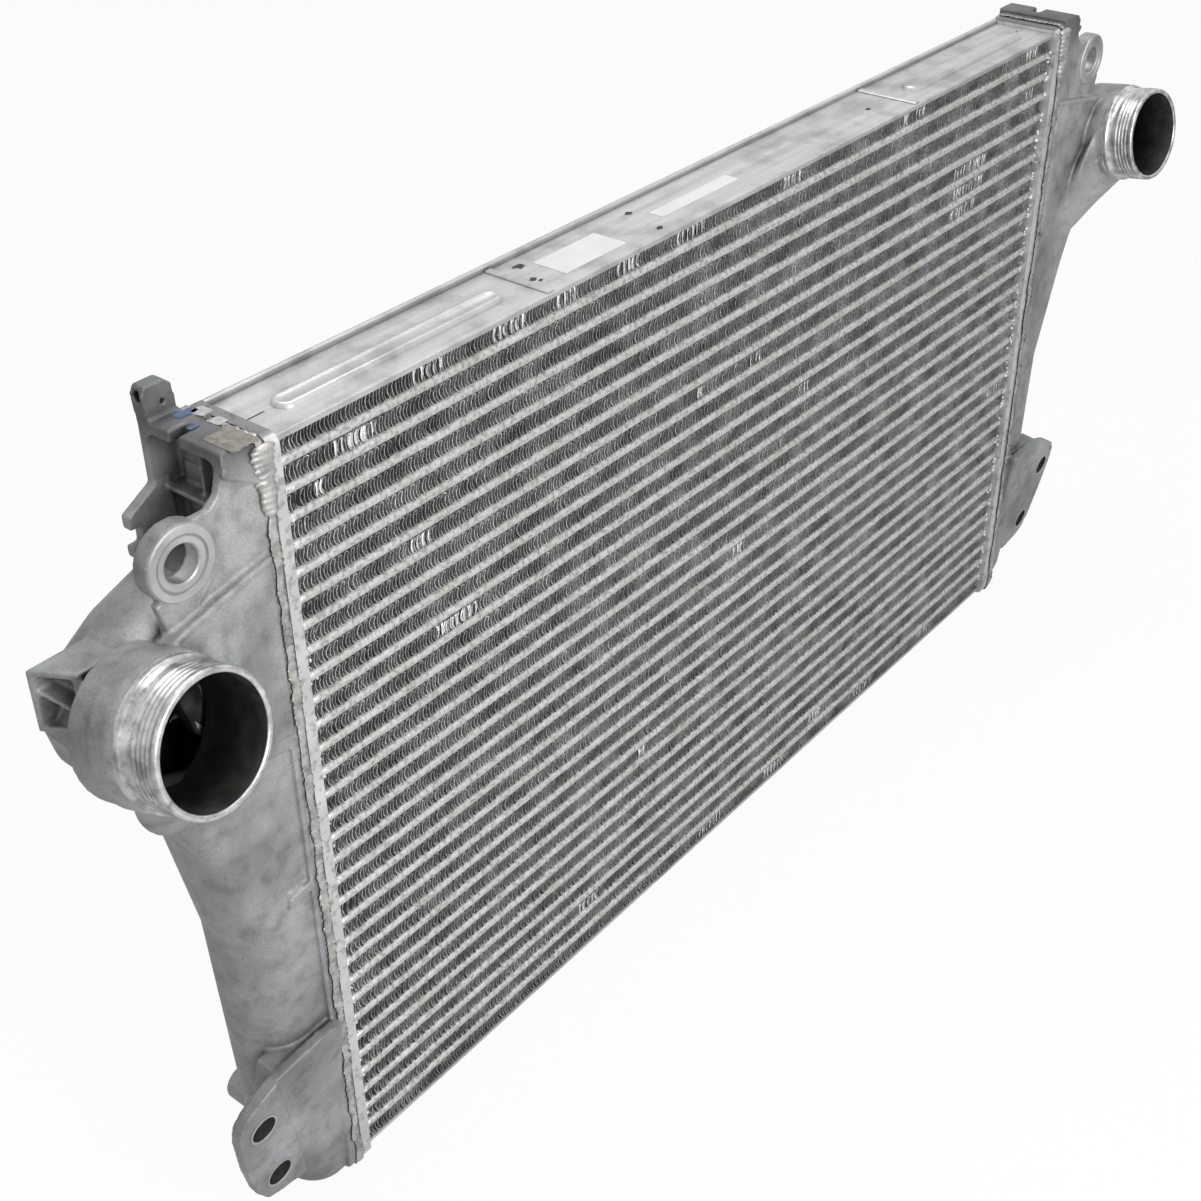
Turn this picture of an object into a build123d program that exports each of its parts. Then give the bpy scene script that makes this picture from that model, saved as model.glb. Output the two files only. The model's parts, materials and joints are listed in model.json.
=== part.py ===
from build123d import *
import os
from math import cos, radians, sin

# Charge air cooler (intercooler) of a heavy vehicle, in millimetres.
# A brazed core of flat tubes and folded fins stands between two folded header trays.
# A cast aluminium tank is welded to each tray: hot air comes in on the -X side, goes
# through the tubes and leaves on the +X side. Both hose spigots face forward, along -Y.
# While the pieces are made, the origin is the middle of the core's underside, X runs
# across the width, Y from the front face to the back and Z up. At the end everything is
# moved so that the origin is the middle of the whole box.

# ---- Core ----
core_width = 998.0          # between the two header trays
core_depth = 64.0
tube_count = 31
tube_height = 8.0
tube_wall = 0.8
tube_nose = 2.4             # the nose is rounded off by three flats, this far in
fin_height = 12.0
fin_recess = 1.0            # the fins stop this far behind the tube noses

# ---- Turbulators, the folded sheets inside the tubes ----
turbulator_sheet = 0.4
turbulator_folds = 3
turbulator_gap = 0.05       # to the tube's inner flats
turbulator_inset = 4.0      # the sheet ends this far inside the tube's ends

# ---- Side plates ----
plate_sheet = 4.0
plate_lip_height = 4.0      # the raised back edge of the top plate
plate_lip_width = 4.0
plate_edge_radius = 1.2
cross_rib_offset = 245.0    # from the middle of the plate
cross_rib_width = 7.0
cross_rib_height = 1.5
bead_width = 16.0
bead_height = 2.0
bead_margin = 27.0          # from the bead's end to the header and to the cross rib
bead_setback = 27.0         # from the core's front to the bead's middle
label_sheet = 0.3
label_sizes = {"inner_label": (68.0, 30.0), "outer_label": (98.0, 13.0)}
label_gap = 30.0            # from the cross rib to the first label
label_spacing = 55.0

# ---- Header trays ----
header_sheet = 3.0
header_lip = 9.0            # how far the folded rim reaches outwards
header_margin = 5.0         # the rim stands this far out past the core's front and back
header_overhang = 8.0       # and this far past its top and bottom
header_corner = 8.0
slot_gap = 0.1              # braze gap round a tube
tube_reach = 2.0            # a tube's end stands this far out of the tray's floor

# ---- Tanks: distances out are from the tray's inner face ----
tank_wall = 5.0
rim_depth = 14.0            # the tank's flat rim behind the weld
weld_width = 10.0
weld_height = 1.6
body_recess = 2.0           # the round body stands this far inside the rim
body_corner = 33.0
upper_reach = 44.0          # the narrow top end of the tank
roof_height = 13.0          # above the core's top
roof_thickness = 8.0
pocket_floor = 22.0         # how far out the wall behind the open pocket stands
web_thickness = 6.0         # the front web that carries the lug
back_web_thickness = 6.0
ledge_drop = 65.0           # from the core's top to where the front panel meets the web
panel_length = 149.0        # from the ledge down to the panel's foot
panel_thickness = 5.0
panel_turn = 2.5            # degrees: the panel comes forward towards the spigot
notch_size = (14.0, 9.0)    # the roof's notch: inwards, along the depth
notch_setback = 41.0        # from the rim's front to the notch's middle
pocket_rib = 3.0
pocket_rib_reach = 14.0

# ---- Hose spigots ----
port_outer = 90.0
port_wall = 4.5
port_reach = 123.0          # mouth centre, out from the tray
port_drop = 114.0           # mouth centre, below the core's top
port_front = 68.0           # mouth centre, in front of the core's front
port_pitch = 10.2           # degrees that the spigot looks up
port_yaw = 6.0              # degrees that it looks towards the core's middle
lip_width = 4.0             # plain lip at the mouth
groove_count = 4
groove_pitch = 3.6
groove_depth = 1.2
band_width = 9.0            # plain band for the hose clamp, behind the grooves
ridge_width = 5.0
ridge_height = 2.0
ridge_tab = (9.0, 14.0)     # the square tab on the ridge: along the spigot, across
neck_thickening = 3.0       # the neck is this much wider than the hose end
neck_inset = 0.0            # the neck ends this far behind the core's front

# The body's sections: height, reach outwards, narrowing of its half depth, front corner.
# The foot is measured from the core's underside, the scroll from the spigot's height.
foot_sections = [
    (-24.0, 38.0, 17.0, 33.0),
    (-12.0, 52.0, 8.0, 33.0),
    (12.0, 66.0, 2.0, 33.0),
    (50.0, 73.0, 0.0, 33.0),
    (120.0, 76.0, 0.0, 33.0),
]
scroll_sections = [
    (-243.0, 82.0, 0.0, 33.0),
    (-143.0, 100.0, 0.0, 14.0),
    (-120.0, 109.0, 0.0, 12.0),
    (-88.0, 127.0, 0.0, 12.0),
    (-43.0, 158.0, 0.0, 12.0),
    (-20.0, 163.0, 0.0, 12.0),
    (-8.0, 151.0, 0.0, 12.0),
    (12.0, 143.0, 4.0, 14.0),
    (28.0, 122.0, 7.0, 18.0),
    (46.0, 74.0, 8.0, 20.0),
]
# The shoulder under the spigot, in sections from its middle down to the body's front:
# out, from the spigot's height, in front of the body, radius.
flare_sections = [(110.0, -38.0, 17.0, 45.0), (100.0, -71.0, -1.0, 42.0)]

# ---- Lug and foot bracket ----
lug_reach = 82.5
lug_drop = 39.5             # below the core's top
lug_radius = 25.0
lug_bore = 25.0
lug_thickness = 11.0
lug_pad = 1.5               # the round pad stands this far in front of the web
foot_hole = 22.0
foot_thickness = 8.0
foot_lean = 8.0             # degrees: the bracket's top comes forward
foot_rise = 87.6            # middle of the bracket, above the underside
foot_front = 1.7            # and in front of the tank's rim
foot_holes = [(99.7, 35.0), (86.0, -35.0)]   # out, and up the slope from the middle
foot_pad = 2.0

# ---- Small features of the castings ----
ear_width = 23.0
ear_depth = 11.0
ear_height = 22.0
ear_cross_hole = 7.0
ear_cross_depth = 14.0
ear_pin_hole = 3.5
boss_size = (45.0, 28.0, 44.0)      # out, along the depth, up
boss_wall = 4.0
boss_recess = 14.0
boss_turn = 30.0                    # degrees that its face looks forward of straight out
boss_place = (167.0, 40.5, 5.0)     # face's back edge: out, behind the core's front, up
rear_boss_radius = 15.0
rear_boss_place = (57.0, 78.0)      # out, up
clip_reach = 67.0                   # the two fingers at the back, below the pocket
clip_thickness = 8.0
clip_fingers = [(52.0, 40.0), (75.0, 64.0)]   # low and high, below the core's top
tab_size = (20.0, 7.0)              # the tab across the rim's step: out, up
tab_rise = 300.0

row_pitch = tube_height + fin_height
core_height = tube_count * row_pitch + fin_height
core_front = -core_depth / 2
rim_front = core_front - header_margin
rim_span_y = core_depth + 2 * header_margin
rim_span_z = core_height + 2 * header_overhang
rim_middle_z = core_height / 2
tray_face = core_width / 2
roof_top = core_height + roof_height
ledge_height = core_height - ledge_drop
web_start = header_lip + weld_width + 1
lug_rise = core_height - lug_drop
port_rise = core_height - port_drop
body_half = rim_span_y / 2 - body_recess
body_start = header_lip + weld_width
neck_radius = port_outer / 2 + neck_thickening
neck_length = port_front + neck_inset
groove_zone = lip_width + groove_count * groove_pitch
ridge_at = groove_zone + band_width
port_axis = Vector(
    -sin(radians(port_yaw)) * cos(radians(port_pitch)),
    -cos(radians(port_yaw)) * cos(radians(port_pitch)),
    sin(radians(port_pitch)),
)
port_mouth = Vector(port_reach, core_front - port_front, port_rise)


def tube_middle(index):
    """Height of a tube's middle, counted from the bottom."""
    return fin_height + tube_height / 2 + index * row_pitch


def flat_tube(length, x_start, inset=0.0):
    """A bar along X with a flat section and blunt noses."""
    plane = Plane(origin=(x_start, 0, 0), x_dir=(0, 1, 0), z_dir=(1, 0, 0))
    outline = Rectangle(core_depth - 2 * inset, tube_height - 2 * inset)
    section = chamfer(outline.vertices(), tube_nose - inset / 2)
    return extrude(plane * section, length)


# ---- Core pieces ----
def make_tube(index):
    length = core_width + 2 * (header_sheet + tube_reach)
    tube = flat_tube(length, -length / 2) - flat_tube(length, -length / 2, tube_wall)
    return Pos(0, 0, tube_middle(index)) * tube


def make_turbulators():
    """One folded sheet in each tube: its channels run along the tube."""
    length = core_width + 2 * (header_sheet + tube_reach - turbulator_inset)
    rise = tube_height - 2 * tube_wall - 2 * turbulator_gap - turbulator_sheet
    width = core_depth - 2 * tube_height
    step = width / turbulator_folds
    half = turbulator_sheet / 2
    upper, lower = [], []
    for fold in range(turbulator_folds):
        side = 1 if fold % 2 else -1
        for end in (0, 1):
            y = -width / 2 + (fold + end) * step
            shift = side * half * (2 * end - 1)
            upper.append((y + shift, side * rise / 2 + half))
            lower.append((y - shift, side * rise / 2 - half))
    section = Plane(origin=(-length / 2, 0, 0), x_dir=(0, 1, 0), z_dir=(1, 0, 0))
    sheet = extrude(section * make_face(Polyline(*upper, *reversed(lower), close=True)), length)
    return [Pos(0, 0, tube_middle(index)) * sheet for index in range(tube_count)]


def make_air_fins():
    """The rows of folded fins, each as the plain block that the folds fill."""
    block = Box(core_width, core_depth - 2 * fin_recess, fin_height)
    return [
        Pos(0, 0, row * row_pitch + fin_height / 2) * block
        for row in range(tube_count + 1)
    ]


# ---- Side plates ----
def plate_sheet_solid():
    plate = Box(core_width, core_depth, plate_sheet)
    long_edges = plate.edges().filter_by(Axis.X)
    outer = long_edges.group_by(Axis.Z)[-1]
    return fillet(outer, plate_edge_radius)


def make_top_plate():
    surface = core_height + plate_sheet
    plate = Pos(0, 0, core_height + plate_sheet / 2) * plate_sheet_solid()
    lip = Box(core_width, plate_lip_width, plate_lip_height + plate_sheet / 2)
    lip = fillet(lip.edges().filter_by(Axis.X).group_by(Axis.Z)[-1], plate_edge_radius)
    lip_y = core_depth / 2 - plate_lip_width / 2
    lip_z = surface + plate_lip_height / 2 - plate_sheet / 4
    plate += Pos(0, lip_y, lip_z) * lip
    rib_length = core_depth - plate_lip_width - 2 * plate_edge_radius
    for side in (-1, 1):
        rib = Box(cross_rib_width, rib_length, cross_rib_height + plate_sheet / 2)
        rib = chamfer(rib.edges().filter_by(Axis.Y).group_by(Axis.Z)[-1], cross_rib_height * 0.6)
        rib_z = surface + cross_rib_height / 2 - plate_sheet / 4
        plate += Pos(side * cross_rib_offset, -plate_lip_width / 2, rib_z) * rib
        bead_from = cross_rib_offset + bead_margin
        bead_to = core_width / 2 - bead_margin
        outline = SlotOverall(bead_to - bead_from, bead_width)
        bead = extrude(outline, bead_height + plate_sheet / 2, taper=20)
        bead_x = side * (bead_from + bead_to) / 2
        bead_y = core_front + bead_setback
        plate += Pos(bead_x, bead_y, surface - plate_sheet / 2) * bead
    return plate


def make_bottom_plate():
    return Pos(0, 0, -plate_sheet / 2) * Rot(180, 0, 0) * plate_sheet_solid()


def make_labels():
    """Blank paper labels on the top plate, between the cross ribs."""
    labels = {}
    start = -cross_rib_offset + label_gap
    for name, (length, width) in label_sizes.items():
        z = core_height + plate_sheet + label_sheet / 2
        sheet = Box(length, width, label_sheet)
        labels[name] = Pos(start + length / 2, core_front + bead_setback + 1, z) * sheet
        start += length + label_spacing
    return labels


# ---- Header trays, made for the +X side ----
def rim_outline(inset=0.0):
    """The tray's and the tank's common outline, in the YZ plane."""
    corner = max(header_corner - inset, 1.0)
    return RectangleRounded(rim_span_y - 2 * inset, rim_span_z - 2 * inset, corner)


def rim_block(start, depth, inset=0.0):
    plane = Plane(origin=(start, 0, rim_middle_z), x_dir=(0, 1, 0), z_dir=(1, 0, 0))
    return extrude(plane * rim_outline(inset), depth)


def make_header():
    tray = rim_block(0, header_lip)
    tray -= rim_block(header_sheet, header_lip, header_sheet)
    slot = flat_tube(3 * header_sheet, -header_sheet, -slot_gap)
    tray -= [Pos(0, 0, tube_middle(index)) * slot for index in range(tube_count)]
    return tray


def make_weld():
    """The bead lies on the tank's rim and closes the seam to the tray."""
    bead = rim_block(header_lip, weld_width, -weld_height)
    bead = chamfer(bead.edges().filter_by(Plane.YZ), weld_height * 0.6, weld_height * 2)
    return bead - rim_block(0, body_start + header_lip)


# ---- Tanks, made for the +X side ----
def body_section(height, reach, narrowing, front_corner, inset):
    """One level of the tank's body: flat towards the core, round outside."""
    start = body_start + inset
    outer = reach - inset
    half = body_half - narrowing - inset
    limit = min(half, outer - start) - 1
    front = max(min(front_corner - inset, limit), 2)
    back = min(body_corner - inset, limit)
    outline = [
        Line((start, -half), (start, half)),
        Line((start, half), (outer - back, half)),
        CenterArc((outer - back, half - back), back, 90, -90),
        Line((outer, half - back), (outer, front - half)),
        CenterArc((outer - front, front - half), front, 0, -90),
        Line((outer - front, -half), (start, -half)),
    ]
    return Pos(0, 0, height) * make_face(Wire(outline))


def body_loft(inset=0.0):
    """The round body, or with an inset the hollow inside it, round at both corners."""
    scroll = [(port_rise + section[0], *section[1:]) for section in scroll_sections]
    levels = foot_sections + scroll
    if inset:
        levels = [(*level[:3], body_corner) for level in levels]
        height, reach, narrowing, corner = levels[0]
        levels[0] = (height + inset, reach + inset / 2, narrowing - inset / 2, corner)
        levels[-1] = (levels[-1][0] - inset, *levels[-1][1:])
    return loft([body_section(*level, inset) for level in levels], ruled=True)


def flare(steps, inset=0.0):
    """The shoulder under the spigot: from the neck down to the body's front."""
    sections = [port_plane(ridge_at + 2 * ridge_width + inset) * Circle(neck_radius - 1 - inset)]
    for out, up, front, radius in steps:
        place = Plane(
            origin=(out, inset - body_half - front, port_rise + up),
            x_dir=(1, 0, 0),
            z_dir=(0, 1, 0),
        )
        sections.append(place * Circle(radius - inset))
    return loft(sections, ruled=True)


def front_plate(points, thickness, front=rim_front):
    """A plate seen from the front: points are out and up, it goes back from its front."""
    plane = Plane(origin=(0, front, 0), x_dir=(1, 0, 0), z_dir=(0, -1, 0))
    return extrude(plane * make_face(Polyline(*points, close=True)), -thickness)


def front_bore(place, radius, depth, front):
    """A round bar along the depth, from its front face back."""
    plane = Plane(origin=(place[0], front, place[1]), x_dir=(1, 0, 0), z_dir=(0, -1, 0))
    return extrude(plane * Circle(radius), -depth)


def port_plane(distance):
    """The plane across the spigot at a distance behind its mouth, facing inwards."""
    return Plane(origin=port_mouth - port_axis * distance, x_dir=(1, 0, 0), z_dir=-port_axis)


def turned_bar(profile):
    """A turned bar with a pointed end: points are radius and distance along its axis."""
    radius, end = profile[-1]
    outline = [*profile, (0, end + radius / 2), (0, profile[0][1])]
    return revolve(Plane.XZ * make_face(Polyline(*outline, close=True)), Axis.Z)


def make_spigot():
    """The hose spigot: lip, grooves, clamp band, ridge with its tab, and neck."""
    radius = port_outer / 2
    profile = [(0, 0), (radius - 1, 0), (radius, 1), (radius, lip_width)]
    for groove in range(groove_count):
        at = lip_width + groove * groove_pitch
        profile += [(radius - groove_depth, at + groove_pitch / 2), (radius, at + groove_pitch)]
    crest = radius + ridge_height
    profile += [(radius, ridge_at), (crest, ridge_at + 1), (crest, ridge_at + ridge_width)]
    profile += [(neck_radius, ridge_at + 2 * ridge_width), (neck_radius, neck_length)]
    spigot = port_plane(0) * turned_bar(profile)
    tab_length, tab_across = ridge_tab
    tab = Box(tab_across, crest + ridge_height, tab_length, align=(Align.CENTER, Align.MIN, Align.MIN))
    turn = Rot(0, 0, 60)
    return spigot + port_plane(ridge_at) * turn * tab


def lean_plane(depth=0.0):
    """The foot bracket's front, or a plane behind it: x is out and y goes up its slope."""
    turn = radians(foot_lean)
    forward = Vector(0, -cos(turn), -sin(turn))
    origin = Vector(0, rim_front - foot_front, foot_rise) - forward * depth
    return Plane(origin=origin, x_dir=(1, 0, 0), z_dir=forward)


def lean_plate(points, thickness, depth=0.0):
    return extrude(lean_plane(depth) * make_face(Polyline(*points, close=True)), -thickness)


def make_bracket():
    """The two-hole bracket at the foot, with its raised pad and the root that carries it."""
    (high_out, high_up), (low_out, low_up) = foot_holes
    tip = [
        (low_out - 19, low_up - 30), (low_out + 11, low_up - 22), (low_out + 22, low_up - 4),
        (high_out + 16, high_up - 42), (high_out + 22, high_up - 1), (high_out + 21, high_up + 15),
        (high_out + 14, high_up + 25), (high_out + 1, high_up + 33), (high_out - 14, high_up + 40),
    ]
    pad = [*tip, (low_out - 29, low_up - 31)]
    plate = [*tip, (web_start + 20, high_up + 46), (web_start, high_up + 44), (web_start, low_up - 24)]
    root = [
        (web_start, low_up - 20), (low_out - 24, low_up - 28), (low_out - 13, low_up - 8),
        (low_out - 13, low_up + 14), (high_out - 14, high_up + 8), (high_out - 18, high_up + 40), (web_start, high_up + 43),
    ]
    bracket = lean_plate(plate, foot_thickness, foot_pad) + lean_plate(pad, 2 * foot_pad)
    return bracket + lean_plate(root, 3 * foot_thickness, foot_pad)


def make_lug_web():
    """The flat web at the top end that carries the lug."""
    top = lug_rise + lug_radius
    web = [
        (web_start, ledge_height - 12), (lug_reach + 18, ledge_height - 24),
        (lug_reach + 18, lug_rise - 14), (lug_reach + 2, top - 3), (upper_reach + 14, top - 3),
        (upper_reach + 6, top + 3), (upper_reach + 1, top + 18), (upper_reach, roof_top - 3),
        (web_start, roof_top - 3),
    ]
    place = (lug_reach, lug_rise)
    lug = front_bore(place, lug_radius, lug_thickness + lug_pad, rim_front - lug_pad)
    tail = [
        (lug_reach - 10, lug_rise - 15), (lug_reach + 20, lug_rise - 2),
        (lug_reach + 17, lug_rise - 34),
    ]
    return front_plate(web, web_thickness) + lug + front_plate(tail, 2 * lug_pad, rim_front - lug_pad)


def make_front_panel():
    """The flat panel beside the spigot, flush with the rim and coming forward outwards."""
    start = web_start
    foot = ledge_height - panel_length
    outline = [
        (start, foot), (start + 37, foot + 6), (start + 77, foot + 52), (start + 95, foot + 120),
        (start + 92, foot + 135), (start + 81, foot + 128), (start + 4, ledge_height),
        (start, ledge_height),
    ]
    panel = front_plate(outline, panel_thickness)
    hinge = Pos(start, rim_front, 0)
    return hinge * Rot(0, 0, -panel_turn) * hinge.inverse() * panel


def make_boxed_boss():
    """The boss on the scroll's outer side, open outwards, with one slanting rib inside."""
    length, depth, height = boss_size
    out, back, up = boss_place
    place = Pos(out, core_front + back, port_rise + up - height / 2)

    def block(inset, cut):
        lean = sin(radians(boss_turn)) / cos(radians(boss_turn))
        rear, front = -inset, inset - depth
        plan = [(-cut, rear), (front * lean - cut, front), (-length, front), (-length, rear)]
        solid = extrude(make_face(Polyline(*plan, close=True)), height - 2 * inset)
        return place * Pos(0, 0, inset) * solid

    floor = block(0, boss_recess)
    hollow = block(boss_wall, 0) - floor
    rib = Box(3 * boss_recess, 3 * depth, boss_wall / 2)
    return block(0, 0) - (hollow - place * Pos(-boss_recess, -depth / 2, height / 2) * Rot(35, 0, 0) * rib)


def make_clip():
    """Two fingers at the back of the casting, joined by a thinner web."""
    back = rim_front + rim_span_y
    levels = [core_height - drop for finger in clip_fingers for drop in finger]
    upper_low, upper_high, lower_low, lower_high = levels
    start = upper_reach - 12
    clip = [
        (start, lower_low - 8), (clip_reach - 4, lower_low), (clip_reach, lower_low + 4),
        (clip_reach, lower_high), (clip_reach - 8, lower_high), (clip_reach - 8, upper_low),
        (clip_reach, upper_low), (clip_reach, upper_high - 3), (start + 12, upper_high + 10),
        (start, upper_high + 10),
    ]
    return front_plate(clip, clip_thickness, back - clip_thickness)


def ear_place():
    """The ear's inner lower front corner."""
    return (upper_reach - ear_width, rim_front + rim_span_y - ear_depth, roof_top)


def make_ear():
    """The ear on the roof; its outer face has a wide blind hole."""
    out, front, base = ear_place()
    outline = [
        (0, -roof_thickness / 2), (ear_width, -roof_thickness / 2),
        (ear_width + 2, ear_height * 0.75), (ear_width - 1, ear_height),
        (ear_width * 0.3, ear_height), (ear_width * 0.08, ear_height * 0.8),
    ]
    ear = Pos(out, 0, base) * front_plate(outline, ear_depth, front)
    cross = Rot(0, 90, 0) * Cylinder(ear_cross_hole / 2, ear_cross_depth)
    place = Pos(upper_reach + 2 - ear_cross_depth / 2, front + ear_depth / 2, base + ear_height * 0.7)
    return ear - place * cross


def ear_pin_place():
    out, _, base = ear_place()
    return (out + ear_width * 0.45, base + ear_height * 0.4)


def make_pocket():
    """The open pocket at the top end, between the roof, the two webs and the inner wall."""
    front = rim_front + web_thickness
    back = rim_front + rim_span_y - back_web_thickness
    low = ledge_height - 6
    high = roof_top - roof_thickness
    depth = upper_reach + 20 - pocket_floor
    box = Box(depth, back - front, high - low, align=(Align.MIN, Align.MIN, Align.MIN))
    pocket = Pos(pocket_floor, front, low) * fillet(box.edges().filter_by(Axis.X), 8)
    flat_rib = Box(pocket_rib_reach, back - front, pocket_rib, align=(Align.MIN, Align.MIN, Align.MIN))
    tall_rib = Box(pocket_rib_reach * 0.6, pocket_rib, high - low, align=(Align.MIN, Align.MIN, Align.MIN))
    pocket -= Pos(pocket_floor, front, low + (high - low) * 0.45) * flat_rib
    pocket -= Pos(pocket_floor, (front + back) / 2, low) * tall_rib
    return pocket


def make_tank_hollow():
    """The air space: the mouth to the tray, the round body, the scroll and the bore."""
    hollow = rim_block(0, pocket_floor - tank_wall, header_margin + 1)
    lower_height = ledge_height - 2 * tank_wall
    lower = Box(3 * tank_wall, 2 * (body_half - 2 * tank_wall), lower_height)
    hollow += Pos(body_start, 0, lower_height / 2) * lower
    hollow += body_loft(tank_wall)
    hollow += flare(flare_sections[-1:], tank_wall)
    bore = port_outer / 2 - port_wall
    inner = neck_radius - tank_wall
    widening = ridge_at + ridge_width
    profile = [(0, -lip_width), (bore, -lip_width), (bore, widening)]
    profile += [(inner, widening + inner - bore), (inner, neck_length - tank_wall / 2)]
    return hollow + port_plane(0) * turned_bar(profile)


def make_tank(with_ear):
    tank = rim_block(header_lip, rim_depth) + body_loft()
    top_height = roof_top - ledge_height + 20
    low_left = (Align.MIN, Align.CENTER, Align.MAX)
    top = Box(upper_reach - web_start, rim_span_y, top_height, align=low_left)
    tank += Pos(web_start, 0, roof_top) * top
    tank -= make_pocket()
    notch_in, notch_wide = notch_size
    notch = Box(2 * notch_in, notch_wide, 3 * roof_thickness)
    tank -= Pos(upper_reach, rim_front + notch_setback, roof_top) * notch
    tank += make_lug_web()
    tank += make_front_panel()
    tank += make_bracket()
    tank += make_spigot()
    tank += flare(flare_sections)
    tank += make_boxed_boss()
    tank += make_clip()
    out, up = rear_boss_place
    tank += front_bore((out, up), rear_boss_radius, rim_span_y / 2, 0)
    tab_out, tab_up = tab_size
    tab = Box(tab_out, body_corner / 2, tab_up, align=(Align.MIN, Align.MIN, Align.CENTER))
    tank += Pos(header_lip + rim_depth - 1, rim_front, tab_rise) * tab
    tank -= make_tank_hollow()
    tank -= front_bore((lug_reach, lug_rise), lug_bore / 2, 3 * lug_thickness, rim_front - lug_thickness)
    for place in foot_holes:
        hole = lean_plane(-foot_thickness) * Pos(*place) * Circle(foot_hole / 2)
        tank -= extrude(hole, -5 * foot_thickness)
    if with_ear:
        tank += make_ear()
        tank -= front_bore(ear_pin_place(), ear_pin_hole / 2, rim_span_y, rim_front)
    return tank


# ---- Assembly ----
def on_both_sides(piece, out_name, in_name):
    """The +X piece and its mirror image on the -X side."""
    return {
        out_name: Pos(tray_face, 0, 0) * piece,
        in_name: Pos(-tray_face, 0, 0) * mirror(piece, about=Plane.YZ),
    }


pieces = {f"tube_{index + 1:02d}": make_tube(index) for index in range(tube_count)}
pieces["turbulators"] = Compound(children=make_turbulators())
pieces["air_fins"] = Compound(children=make_air_fins())
pieces["top_plate"] = make_top_plate()
pieces["bottom_plate"] = make_bottom_plate()
pieces |= make_labels()
pieces |= on_both_sides(make_header(), "outlet_header", "inlet_header")
pieces |= on_both_sides(make_weld(), "outlet_weld", "inlet_weld")
pieces["outlet_tank"] = Pos(tray_face, 0, 0) * make_tank(False)
pieces["inlet_tank"] = Pos(-tray_face, 0, 0) * mirror(make_tank(True), about=Plane.YZ)

boxes = [piece.bounding_box() for piece in pieces.values()]
low = Vector(*[min(getattr(box.min, axis) for box in boxes) for axis in "XYZ"])
high = Vector(*[max(getattr(box.max, axis) for box in boxes) for axis in "XYZ"])
middle = (low + high) / 2
print("box", high - low, "origin at", middle)

os.makedirs("parts", exist_ok=True)
for name, piece in pieces.items():
    export_step(Location(-middle) * piece, f"parts/{name}.step")
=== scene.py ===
# %% [markdown]
# # Charge air cooler
# A charge air cooler cools the air that a turbocharger has pressed together. Its metal parts
# already exist as exact solids, and this file gives them their surfaces. The solids are
# loaded first and stay where they are, because every new piece takes its place from them.

# %% Load the solid model
import json
import math
import random
import bmesh
import bpy
from mathutils import Matrix, Vector, noise
from mathutils.bvhtree import BVHTree


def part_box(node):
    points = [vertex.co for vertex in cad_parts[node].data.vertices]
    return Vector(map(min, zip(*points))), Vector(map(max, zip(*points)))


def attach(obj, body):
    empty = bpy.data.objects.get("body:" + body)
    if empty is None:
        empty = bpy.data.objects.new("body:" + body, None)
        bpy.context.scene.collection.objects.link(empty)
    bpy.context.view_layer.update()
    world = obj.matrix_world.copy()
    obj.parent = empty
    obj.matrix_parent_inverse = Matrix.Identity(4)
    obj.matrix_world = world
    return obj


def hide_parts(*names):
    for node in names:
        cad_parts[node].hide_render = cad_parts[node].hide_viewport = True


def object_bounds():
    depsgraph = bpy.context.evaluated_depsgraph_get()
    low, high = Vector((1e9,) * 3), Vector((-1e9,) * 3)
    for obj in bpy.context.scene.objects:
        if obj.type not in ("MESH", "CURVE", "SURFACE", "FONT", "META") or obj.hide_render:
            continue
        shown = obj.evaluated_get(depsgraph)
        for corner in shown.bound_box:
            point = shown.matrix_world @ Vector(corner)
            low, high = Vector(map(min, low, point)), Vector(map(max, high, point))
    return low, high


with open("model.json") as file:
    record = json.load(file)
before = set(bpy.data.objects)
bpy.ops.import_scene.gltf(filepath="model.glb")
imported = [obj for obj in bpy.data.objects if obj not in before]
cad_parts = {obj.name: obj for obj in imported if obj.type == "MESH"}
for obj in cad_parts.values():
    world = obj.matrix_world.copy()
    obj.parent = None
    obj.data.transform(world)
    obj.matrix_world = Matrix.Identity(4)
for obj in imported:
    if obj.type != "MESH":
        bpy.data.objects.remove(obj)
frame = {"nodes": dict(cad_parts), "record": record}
solid_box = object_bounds()
nodes = frame["nodes"]
MM = 0.001
random.seed(7)
print("nodes:", len(nodes), "box:", solid_box)

# %% [markdown]
# ## Camera
# The camera stands to the left of the core and above it, and looks down along the tubes. Its
# place is counted from the core's lower left front corner. A long lens keeps the far tank
# nearly as large as the near one.

# %% Camera
FIN_RECESS = 1.0 * MM
LENS = 51.885             # focal length for a film 36 mm wide, in millimetres
FROM_CORNER = Vector((-572.1, -708.9, 1126.6)) * MM
CAMERA_TURN = (55.631, 0.555, -51.330)   # degrees about X, Y and Z
fins_low, fins_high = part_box("air_fins")
core_front = fins_low[1] - FIN_RECESS
corner = Vector((fins_low[0], core_front, fins_low[2]))
camera_data = bpy.data.cameras.new("camera")
camera_data.lens = LENS
camera_data.sensor_width = 36.0
camera = bpy.data.objects.new("camera", camera_data)
bpy.context.scene.collection.objects.link(camera)
camera.location = corner + FROM_CORNER
camera.rotation_euler = [math.radians(angle) for angle in CAMERA_TURN]
bpy.context.scene.camera = camera
print("camera at:", camera.location)

# %% [markdown]
# ## Floor and light
# The cooler hangs in a frame when it is used, so here it stands just above a plain floor.
# One large lamp stands in front on the left and lights the near tank most, and a second one
# hangs above and lights the top plate. The world gives an even grey light, but metal has to
# see a white room, so the world is white for reflections, for the camera and through glass.

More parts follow.
